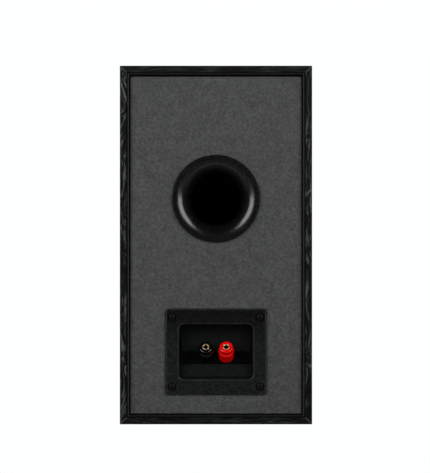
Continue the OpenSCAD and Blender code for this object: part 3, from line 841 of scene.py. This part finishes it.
def carved(bm, tools):
    ob = solid(bm)
    for t in tools:
        carve(ob, solid(t))
    out = bmesh.new()
    out.from_mesh(ob.data)
    bpy.data.objects.remove(ob)
    return out


def cross_recess(top, depth, arm=1.85, half=0.42):
    """The tapered cross of a cross-head screw."""
    rings = []
    for z, a, h in ((top + 0.5, arm * 1.04, half * 1.04), (top - 0.25, arm * 0.92, half),
                    (top - depth, arm * 0.36, half * 0.7)):
        rings.append([(x, y, z) for x, y in ((a, -h), (a, h), (h, h), (h, a), (-h, a), (-h, h),
                                             (-a, h), (-a, -h), (-h, -h), (-h, -a), (h, -a), (h, -h))])
    return loft(rings)


dome_head = [(0, 1.6), (0.6, 1.59), (1.2, 1.54), (1.8, 1.42), (2.3, 1.24), (2.7, 1.0), (3.0, 0.72),
             (3.18, 0.42), (3.25, 0.2), (3.25, 0.06), (3.1, 0), (1.7, 0), (1.7, -11.9), (1.3, -12.6),
             (0, -12.6)]
one = carved(lathe(dome_head, 40), [cross_recess(1.5, 1.25)])
backwards = axes((0, 0, 0), (0, 1, 0), (-1, 0, 0)).to_3x3().normalized().to_4x4()
at = [Matrix.Translation((x * CUP_SCREW_X, FLANGE_Y, CUP_Z + z * CUP_SCREW_Z)) @ backwards
      @ Matrix.Rotation(math.radians(turn), 4, "Z")
      for x, z, turn in ((1, 1, 20), (-1, 1, 63), (1, -1, 5), (-1, -1, 38))]
piece("cup_screws", copies(one, at), WORLD, "cabinet", SCREW, ["terminal_screws"], 32)

HEX_R = 2.05
hex_recess = [[around(HEX_R, math.radians(60 * k), z) for k in range(6)] for z in (2, -0.75)]
head = ([(0, 0.6)] + soft([(2.4, 0.6, 0.3), (3.6, -0.45, 0.25), (3.6, -1.2, 0)], 4)[:-1]
        + [(3.6, -1.2), (1.8, -1.2), (1.8, -11.6), (1.0, -13), (0, -13)])
one = carved(lathe(head, 36), [loft(hex_recess)])
WOOFER_SCREW_R, TWEETER_SCREW_R = 67.5, 43.5
at = []
for place, n, r, start in ((ON_WOOFER, 6, WOOFER_SCREW_R, 30), (ON_TWEETER, 4, TWEETER_SCREW_R, 45)):
    for k in range(n):
        a = math.radians(start + 360 * k / n)
        at.append(place @ Matrix.Translation(around(r, a)) @ Matrix.Rotation(a * 1.7, 4, "Z"))
piece("driver_screws_detailed", copies(one, at), Matrix.Identity(4), "cabinet", SCREW,
      ["driver_screws"], 32)

# ---------------------------------------------------------------- binding posts


def thread(r, z, a, z0, z1, pitch=1.0, depth=0.28):
    """Radius of a cut thread between z0 and z1, never outside r."""
    inside = max(0.0, min(1.0, (z - z0) / pitch)) * max(0.0, min(1.0, (z1 - z) / pitch))
    f = (z / pitch - a / (2 * math.pi)) % 1
    return r - depth * inside * abs(2 * f - 1)


def fluted(r, z, a, far=7.95, flute_r=0.95, end=11.3):
    """Radius of the cap's grip, with twelve rounded flutes that run out below the neck."""
    if r < 6.5 or z > end:
        return r
    d = (a + math.pi / 12) % (math.pi / 6) - math.pi / 12
    across = far * math.sin(d)
    if abs(across) > flute_r:
        return r
    cut = far * math.cos(d) - math.sqrt(max(0.0, flute_r ** 2 - across ** 2))
    run_out = max(0.0, min(1.0, (end - z) / 0.6))
    return min(r, r + (min(cut, r) - r) * run_out)


CORE_R = 3.05
core_bar = ([(0, -11), (2.6, -11), (CORE_R, -10.5)] + [(CORE_R, -10.3 + 0.125 * k) for k in range(227)]
            + arc(2.5, 18.1, 0.55, 0.6, 0, 180, 10) + [(1.95, 17.4), (2.05, 17.2), (2.05, 6.8), (0, 6.1)])


def core_wave(r, z, a):
    if abs(r - CORE_R) > 0.01:
        return r
    return thread(r, z, a, -10.2, -2.3) if z < 0 else thread(r, z, a, 2.1, 17.6)


both_cores = copies(lathe(core_bar, 40, core_wave), [on_post(RED), on_post(BLACK)])
cores_piece = piece("post_cores_detailed", both_cores, Matrix.Identity(4), "cabinet",
                    GOLD, ["post_cores"], 50)
cores_piece.data.materials.append(BORE_SHADE)
cores_piece.data.materials.append(GOLD_RIM)
# painted shade: faces inside the socket bore take the dark gold copy; faces on the top rim take the rim gold
for face in cores_piece.data.polygons:
    side = RED if face.center.x < 0 else BLACK
    at = on_post(side).inverted() @ face.center
    if at.z > 17.9:
        face.material_index = 2
    elif math.hypot(at.x, at.y) < 2.03:
        face.material_index = 1

collar = soft([(3.06, -2.2, 0), (4, -2.2, 0), (4, 0, 0), (6.3, 0, 0.2), (6.3, 2, 0.55), (3.06, 2, 0.15)], 5)
washer = soft([(3.12, 2, 0.12), (5.8, 2, 0.2), (5.8, 2.8, 0.3), (3.12, 2.8, 0.12)], 4)
grip = soft([(3.12, 2.8, 0.2), (6.9, 2.8, 0.2), (7.3, 3.3, 0.3), (7.3, 12.0, 0.9), (6.15, 13.4, 0.7),
             (6.15, 18.4, 0.75), (3.3, 18.4, 0), (3.12, 18.4, 0.1)], 6)
fine = []
for (r0, z0), (r1, z1) in zip(grip, grip[1:] + grip[:1]):
    steps = max(1, int(math.hypot(r1 - r0, z1 - z0) / 0.5))
    fine += [(r0 + (r1 - r0) * k / steps, z0 + (z1 - z0) * k / steps) for k in range(steps)]
for side, name, look in ((RED, "red", POST_RED), (BLACK, "black", POST_BLACK)):
    piece("collar_" + name, lathe(collar, 72), on_post(side), "cabinet", look,
          ["post_collar_" + name])
    piece("washer_" + name, lathe(washer, 72), on_post(side), "washer_" + name, GOLD,
          ["post_washer_" + name])
    cap_piece = piece("cap_" + name, lathe(fine, 216, fluted), on_post(side), "cap_" + name, look,
                      ["post_cap_" + name], 40)
    cap_piece.data.materials.append(GOLD_RIM)
    for face in cap_piece.data.polygons:
        at = on_post(side).inverted() @ face.center
        if math.hypot(at.x, at.y) < 3.28 and at.z > 16:
            face.material_index = 1
rounded_edges("post_nuts", 0.3)

# ---------------------------------------------------------------- woofer


cone = soft([(47, -1.2, 0), (44, -1.2, 1.0), (36, -8, 12), (28, -16, 14), (20, -24.5, 14), (13.6, -31, 1),
             (12.95, -31.4, 0), (12.95, -34, 0), (13.5, -34, 0.2), (13.6, -32.2, 0.4), (20.4, -25.6, 14),
             (28.5, -17, 14), (36.5, -9, 12), (44.2, -2.2, 0.8), (47, -2, 0)], 6)
piece("cone", lathe(cone, 128), ON_WOOFER, "woofer_moving", CONE, ["woofer_cone"], 40)
cap = ([(0, -17.72)] + arc(0, -26.12, 19.2, 8.4, 88, 5.5, 20) + [(19.2, -25.9), (18.4, -26.05)]
       + arc(0, -26.5, 18.2, 8.1, 5.5, 88, 20) + [(0, -18.4)])
piece("dust_cap", lathe(cap, 96), ON_WOOFER, "woofer_moving", CONE, ["woofer_dust_cap"], 40)
former = soft([(12.6, -61, 0.1), (12.95, -61, 0.1), (12.95, -29, 0.1), (12.6, -29, 0.1)], 2)
piece("coil_former", lathe(former, 72), ON_WOOFER, "woofer_moving", FORMER,
      ["woofer_coil_former"])

surround = ([(62, -1.2), (62, -0.6)] + arc(52, -0.6, 8, 5, 0, 180, 20) + [(44, -0.6), (44, -1.2)]
            + arc(52, -1.2, 4.4, 4.9, 180, 0, 14))
SURROUND_STRIPS, SPIDER_STRIPS = 72, 12
for k in range(SURROUND_STRIPS):
    a0, a1 = 360 * k / SURROUND_STRIPS, 360 * (k + 1) / SURROUND_STRIPS
    a = math.radians((a0 + a1) / 2)
    ob = piece("surround_%02d" % (k + 1), lathe(surround, 2, None, a0, a1), ON_WOOFER, None, RUBBER,
               ["woofer_surround"], 50)
    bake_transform(ob)

lo, hi = span("woofer_spider")
z_mid = FACE_Y - (lo[1] + hi[1]) / 2
z_half = (hi[1] - lo[1]) / 2
top, bottom = [], []
SPIDER_R, SPIDER_STEPS = (12.95, 42.4), 72
for k in range(SPIDER_STEPS + 1):
    r = SPIDER_R[0] + (SPIDER_R[1] - SPIDER_R[0]) * k / SPIDER_STEPS
    swing = 0.9 * (1 - math.cos(2 * math.pi * (r - 15.2) / 5.25)) if 15.2 < r < 36.2 else 0.0
    top.append((r, z_mid - z_half + 0.5 + swing))
    bottom.append((r, z_mid - z_half + swing))
for k in range(SPIDER_STRIPS):
    a0, a1 = 360 * k / SPIDER_STRIPS, 360 * (k + 1) / SPIDER_STRIPS
    a = math.radians((a0 + a1) / 2)
    ob = piece("spider_%02d" % (k + 1), lathe(top + bottom[::-1], 8, None, a0, a1), ON_WOOFER, None, SPIDER,
               ["woofer_spider"], 50)
    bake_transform(ob)

for side, name in ((RED, "red"), (BLACK, "black")):
    line = smooth_line([(side * 6, -48.5, -36.5), (side * 6, -46.3, -31.4), (side * 6, -39.5, -29.6),
                        (side * 6, -31, -26.9), (side * 6, -24.5, -21.2)], 12)
    strands = bmesh.new()
    for k in range(4):
        pts = []
        for i, p in enumerate(line):
            t = (line[min(i + 1, len(line) - 1)] - line[max(i - 1, 0)]).normalized()
            u = Vector((1, 0, 0))
            v = t.cross(u)
            a = i * 0.42 + k * math.pi / 2
            pts.append(p + 0.36 * (math.cos(a) * u + math.sin(a) * v))
        one = tube(pts, 0.34, 8)
        me = bpy.data.meshes.new("strand")
        one.to_mesh(me)
        one.free()
        strands.from_mesh(me)
        bpy.data.meshes.remove(me)
    ob = piece("tinsel_" + name, strands, ON_WOOFER, None, TINSEL, ["woofer_tinsel_leads"], 60)
    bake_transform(ob)

# ---------------------------------------------------------------- tweeter

plate = soft([(50, -3.4, 0.1), (50, 0, 0.8), (26, 0, 1.2), (20.4, -1.8, 0.8), (19.6, -3.4, 0)], 6)
hole = [(0, -5), (2.2, -5), (2.2, -1.2), (3.9, -1.2), (3.9, -0.3), (4.4, 0.2), (4.4, 2), (0, 2)]
holes = [lathe(hole, 40) for _ in range(4)]
for k, h in enumerate(holes):
    a = math.radians(45 + 90 * k)
    h.transform(Matrix.Translation(around(TWEETER_SCREW_R, a)))
piece("faceplate", carved(lathe(plate, 128), holes), ON_TWEETER, "cabinet", FACEPLATE,
      ["tweeter_faceplate"], 30)
dome = (arc(0, -18.2, 20.4, 20.4, 90, 50.8, 22) + arc(15, -2.4, 2.1, 2, 180, 0, 14) + [(19, -2.4), (19, -2.8)]
        + arc(15, -2.8, 1.7, 2, 0, 180, 12) + [(12.7, -2.8)] + arc(0, -18.2, 20, 20, 51.2, 90, 18))
dome[0], dome[-1] = (0, dome[0][1]), (0, dome[-1][1])
piece("dome", lathe(dome, 96), ON_TWEETER, "tweeter_moving", DOME, ["tweeter_dome"], 60)

# ---------------------------------------------------------------- crossover

BOARD_TOP = span("crossover_board")[1][2]


def turns(r0, r1, z0, z1, pitch=1.05):
    """Outline of a layer-wound coil, each turn of the outer layer rounded."""
    n = max(2, round((z1 - z0) / pitch))
    p = (z1 - z0) / n
    out = []
    for k in range(n):
        for j in range(6):
            a = math.pi * (j + 0.5) / 6
            out.append((r1 - p / 2 + p / 2 * math.sin(a), z0 + p * (k + 0.5) - p / 2 * math.cos(a)))
    return [(r0, z0)] + out + [(r0, z1)]


for name, x, y, r0, r1, h in (("large", -31, 38, 9, 17.5, 16), ("small", 34, 8, 7, 13.5, 11)):
    place = WORLD @ Matrix.Translation((x, y, BOARD_TOP))
    piece("coil_" + name, lathe(turns(r0, r1, 1.5, 1.5 + h), 72), place, "cabinet", COPPER_Z,
          ["inductor_coils"], 50)
    reel = soft([(r0 - 1.5, 0, 0.3), (r1 + 1, 0, 0.3), (r1 + 1, 1.5, 0.3), (r0, 1.5, 0), (r0, 1.5 + h, 0),
                 (r1 + 1, 1.5 + h, 0.3), (r1 + 1, 3 + h, 0.3), (r0 - 1.5, 3 + h, 0.4)], 4)
    piece("bobbin_" + name, lathe(reel, 72), place, "cabinet", BOBBIN, ["inductor_bobbins"])
for name, x, y, r, l in (("small", -24, 6, 8, 34), ("large", 22, 44, 9, 38)):
    place = WORLD @ Matrix.Translation((x, y, BOARD_TOP + r)) @ Matrix.Rotation(math.pi / 2, 4, "Y")
    can = soft([(0, -l / 2 + 0.8, 0), (r - 2.2, -l / 2 + 0.8, 0.6), (r - 1.6, -l / 2, 0.5), (r, -l / 2, 0.9),
                (r, l / 2, 0.9), (r - 1.6, l / 2, 0.5), (r - 2.2, l / 2 - 0.8, 0.6), (0, l / 2 - 0.8, 0)], 5)
    piece("capacitor_" + name, lathe(can, 64), place, "cabinet", FILM_BLUE,
          ["capacitors"], 50)
for width, segments, names in (
    (0.7, 3, ["resistor"]), (0.15, 1, ["crossover_board"]), (0.25, 2, ["crossover_screws"]),
    (0.2, 2, ["terminal_boards", "woofer_terminals", "tweeter_terminals", "woofer_trim_ring"]),
    (0.5, 2, ["window_brace", "woofer_basket"]), (1.2, 4, ["grille_frame"]),
    (0.9, 3, ["woofer_magnet", "tweeter_magnet"]),
    (0.5, 3, ["woofer_top_plate", "tweeter_top_plate", "woofer_yoke", "tweeter_yoke"]),
):
    for name in names:
        rounded_edges(name, width, segments)

# ---------------------------------------------------------------- leads

foot_y, foot_z = POST_FOOT


def lead(name, points):
    colour = name.rsplit("_", 1)[1]
    piece(name + "_insulated", tube(smooth_line(points, 10), 1.4, 16, 1.3), WORLD, "cabinet",
          WIRE_RED if colour == "red" else WIRE_BLACK, [name], 60)


for side, colour in ((RED, "red"), (BLACK, "black")):
    x = side * POST_X
    lead("input_lead_" + colour,
         [(x, foot_y - 9.1, foot_z - 6.6), (x, foot_y - 13.4, foot_z - 9.9),
          (x * 1.2, foot_y - 18, foot_z - 18), (x * 1.5, foot_y - 22, foot_z - 30),
          (x * 1.6, 57, BOARD_TOP + 5.4), (x * 1.6, 52, BOARD_TOP + 1.2)])
    x = side * 6
    lead("woofer_lead_" + colour,
         [(x * 1.4, -8, BOARD_TOP + 1.5), (x * 1.4, -16, BOARD_TOP + 2.2), (x * 1.2, -32, 25.4), (x, -50, 32),
          (x, FACE_Y + 38.2, WOOFER_Z - 62), (x, FACE_Y + 37.7, WOOFER_Z - 56.7)])
    y = 14 if side < 0 else 8
    lead("tweeter_lead_" + colour,
         [(50, y - 6, BOARD_TOP + 1.5), (58, y - 8, BOARD_TOP + 6), (62, y - 8, 42), (61, y - 10, 90),
          (55, y - 14, 132), (48, y - 18, 161), (44, y - 54, 180), (24, y - 66, 185),
          (x * 1.6, FACE_Y + 28, 188), (x, FACE_Y + 24, TWEETER_Z - 51),
          (x, FACE_Y + 23.2, TWEETER_Z - 45.4)])

# ---------------------------------------------------------------- wadding


def ragged(name, lo, hi):
    """A slab of loose wadding: rounded edges and lumpy faces, kept inside its box."""
    size = [b - a for a, b in zip(lo, hi)]
    steps = [max(2, round(s / 6)) for s in size]
    thin = size.index(min(size))
    bm = bmesh.new()
    grid = {}

    def vert(i, j, k):
        key = (i, j, k)
        if key not in grid:
            p = Vector([lo[t] + size[t] * key[t] / steps[t] for t in range(3)])
            c = [(a + b) / 2 for a, b in zip(lo, hi)]
            q = p.copy()
            near = sorted(min(p[t] - lo[t], hi[t] - p[t]) for t in range(3) if t != thin)[0]
            thick = 1 - 0.45 * max(0.0, 1 - near / 9) ** 2
            lump = 0.86 + 0.14 * noise.noise(p * 0.055) + 0.06 * noise.noise(p * 0.21)
            q[thin] = c[thin] + (p[thin] - c[thin]) * min(1.0, thick * lump)
            for t in range(3):
                if t != thin:
                    f = (p[t] - c[t]) / (size[t] / 2)
                    q[t] -= f * abs(f) ** 7 * (1.6 + 1.2 * noise.noise(p * 0.09 + Vector((7, 3, 1))))
            grid[key] = bm.verts.new(q)
        return grid[key]

    for a in range(3):
        b, c = [t for t in range(3) if t != a]
        for side in (0, steps[a]):
            for j in range(steps[b]):
                for k in range(steps[c]):
                    face = []
                    for dj, dk in ((0, 0), (1, 0), (1, 1), (0, 1)):
                        at = [0, 0, 0]
                        at[a], at[b], at[c] = side, j + dj, k + dk
                        face.append(vert(*at))
                    bm.faces.new(face)
    ob = piece(name, bm, WORLD, "cabinet", WADDING, ["damping_wadding"], 80)


(x0, y0, z0), (x1, y1, z1) = span("damping_wadding")
shelf_lo, shelf_hi = span("window_brace")[0][2], span("window_brace")[1][2]
for side, name in ((-1, "left"), (1, "right")):
    a, b = (x0, x0 + 9) if side < 0 else (x1 - 9, x1)
    ragged("wadding_%s_lower" % name, (a, y0, z0), (b, y1, shelf_lo - 2))
    ragged("wadding_%s_upper" % name, (a, y0, shelf_hi + 2), (b, y1, z1 - 11))
ragged("wadding_top", (x0 + 2, y0, z1 - 9), (x1 - 2, y1, z1))

# ---------------------------------------------------------------- grille

(gx0, gy0, gz0), (gx1, gy1, gz1) = span("grille_cloth")
gw, gh, gz = gx1 - gx0, gz1 - gz0, (gz0 + gz1) / 2


def cloth_ring(inset, y, r):
    return [(x, y, gz + z) for x, z in rounded(gw - 2 * inset, gh - 2 * inset, max(0.4, r - inset), 6)]


def skin(thick, wide=2.4, deep=3.0):
    """Rings of one face of the cloth, from its back hem over the rounded front edge."""
    rows = [cloth_ring(thick, gy1, wide), cloth_ring(thick, gy0 + deep, wide)]
    for k in range(1, 7):
        a = math.radians(90 * k / 6)
        rows.append(cloth_ring(thick + (wide - thick) * (1 - math.cos(a)),
                               gy0 + thick + (deep - thick) * (1 - math.sin(a)), wide))
    return rows


bm = bmesh.new()


def rows_to_mesh(rows):
    v = [[bm.verts.new(p) for p in row] for row in rows]
    for a, b in zip(v, v[1:]):
        for k in range(len(a)):
            bm.faces.new((a[k], a[(k + 1) % len(a)], b[(k + 1) % len(a)], b[k]))
    bm.faces.new(v[-1])
    return v


a = rows_to_mesh(skin(0.0))
b = rows_to_mesh(skin(0.55))
for k in range(len(a[0])):
    j = (k + 1) % len(a[0])
    bm.faces.new((a[0][k], a[0][j], b[0][j], b[0][k]))
knit = piece("grille_knit", bm, WORLD, "grille", KNIT, ["grille_cloth"], 60)
rounded_edges("grille_sockets", 0.3, 2)

# ---------------------------------------------------------------- stage


def area_light(name, at, aim, w, h, power):
    d = bpy.data.lights.new(name, "AREA")
    d.shape, d.size, d.size_y, d.energy = "RECTANGLE", w, h, power
    ob = bpy.data.objects.new(name, d)
    scene.collection.objects.link(ob)
    ob.location = at
    ob.rotation_euler = (Vector(aim) - Vector(at)).to_track_quat("-Z", "Y").to_euler()
    return ob


area_light("box_left", (0.72, 0.97, 0.61), (0, 0.1, 0.75), 0.6, 0.84, 11.4)
area_light("box_right", (-0.72, 0.97, 0.61), (0, 0.1, 0.75), 0.6, 0.84, 11.4)
glow = area_light("floor_glow", (0, 0.32, 0.004), (0, 0.32, 1), 0.95, 0.07, 0.1)
glow.visible_camera = False
low = area_light("low_fill", (0, 0.34, 0.02), (0, 0, 0.0), 0.9, 0.04, 0.26)
low.visible_camera = low.visible_glossy = False
area_light("fill_left", (0.9, -1.1, 0.6), (0, 0, 0.17), 0.6, 0.9, 9)
area_light("fill_right", (-0.9, -1.1, 0.6), (0, 0, 0.17), 0.6, 0.9, 9)


def for_camera(nt, seen, unseen, end):
    """One shader for what the camera sees directly, another for light and reflections."""
    path = nt.nodes.new("ShaderNodeLightPath")
    mix = nt.nodes.new("ShaderNodeMixShader")
    nt.links.new(path.outputs["Is Camera Ray"], mix.inputs[0])
    nt.links.new(unseen.outputs[0], mix.inputs[1])
    nt.links.new(seen.outputs[0], mix.inputs[2])
    nt.links.new(mix.outputs[0], end.inputs[0])


world = bpy.data.worlds.new("studio")
scene.world = world
world.use_nodes = True
wn = world.node_tree
wn.nodes.clear()
white = wn.nodes.new("ShaderNodeBackground")
dim = wn.nodes.new("ShaderNodeBackground")
white.inputs[0].default_value = (0.99, 1, 1, 1)
white.inputs[1].default_value = 1.0
dim.inputs[0].default_value = (1, 1, 1, 1)
dim.inputs[1].default_value = 0.008
for_camera(wn, white, dim, wn.nodes.new("ShaderNodeOutputWorld"))

paper = bpy.data.materials.new("floor")
paper.use_nodes = True
pn = paper.node_tree
pn.nodes.clear()
white = pn.nodes.new("ShaderNodeEmission")
white.inputs[0].default_value = (0.99, 1, 1, 1)
dim = pn.nodes.new("ShaderNodeBsdfDiffuse")
dim.inputs[0].default_value = (0.16, 0.16, 0.16, 1)
for_camera(pn, white, dim, pn.nodes.new("ShaderNodeOutputMaterial"))
bm = bmesh.new()
bmesh.ops.create_grid(bm, x_segments=8, y_segments=8, size=4)
floor = new_object("floor", finish_mesh(bm, Matrix.Translation((0, 0, CAD_BOX[0].z - 0.0002))))
floor.data.materials.append(paper)

cam = bpy.data.cameras.new("camera")
SENSOR, FAR, SEEN = 36, 1.35, 0.4379
cam.sensor_width = SENSOR
cam.lens = SENSOR * FAR / SEEN
camera = bpy.data.objects.new("camera", cam)
scene.collection.objects.link(camera)
camera.location = (0.0009, CAD_BOX[1].y + FAR, (CAD_BOX[0].z + CAD_BOX[1].z) / 2 + 0.0079)
camera.rotation_euler = (math.radians(90), 0, math.radians(180))
scene.camera = camera
scene.view_settings.view_transform = "Standard"
